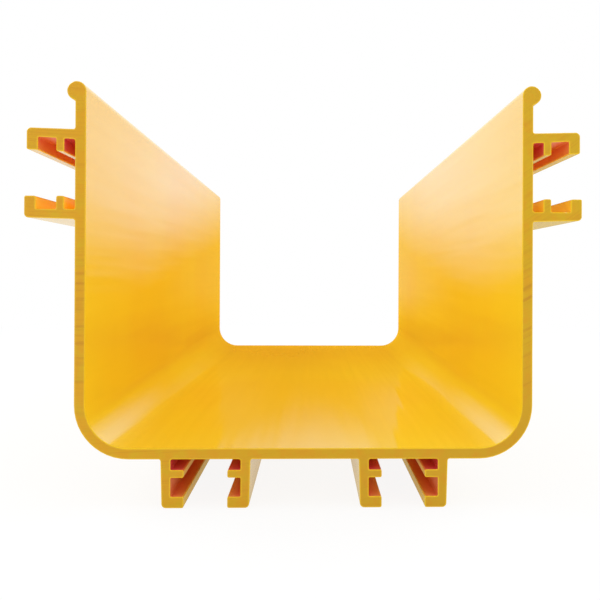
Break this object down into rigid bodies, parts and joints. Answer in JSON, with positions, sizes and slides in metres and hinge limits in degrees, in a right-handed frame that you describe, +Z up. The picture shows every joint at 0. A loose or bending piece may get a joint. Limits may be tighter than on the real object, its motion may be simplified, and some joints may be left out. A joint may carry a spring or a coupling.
{
  "type": "fibre raceway straight section",
  "caption": "Straight U-shaped plastic channel for fibre cables, with beaded wall tops for a clip-on cover and hooked slot rails along its sides and underside.",
  "frame": {"origin": "on the plane of the feet, under the middle of the section both ways", "axes": "+Y along the section, away from the pictured end; +Z up, towards the open top; +X across, to the right in the picture"},
  "size_m": [0.1298, 0.3, 0.0987],
  "materials": {
    "yellow_plastic": "gloss"
  },
  "bodies": {
    "root": {"channel": "yellow_plastic"}
  },
  "joints": []
}
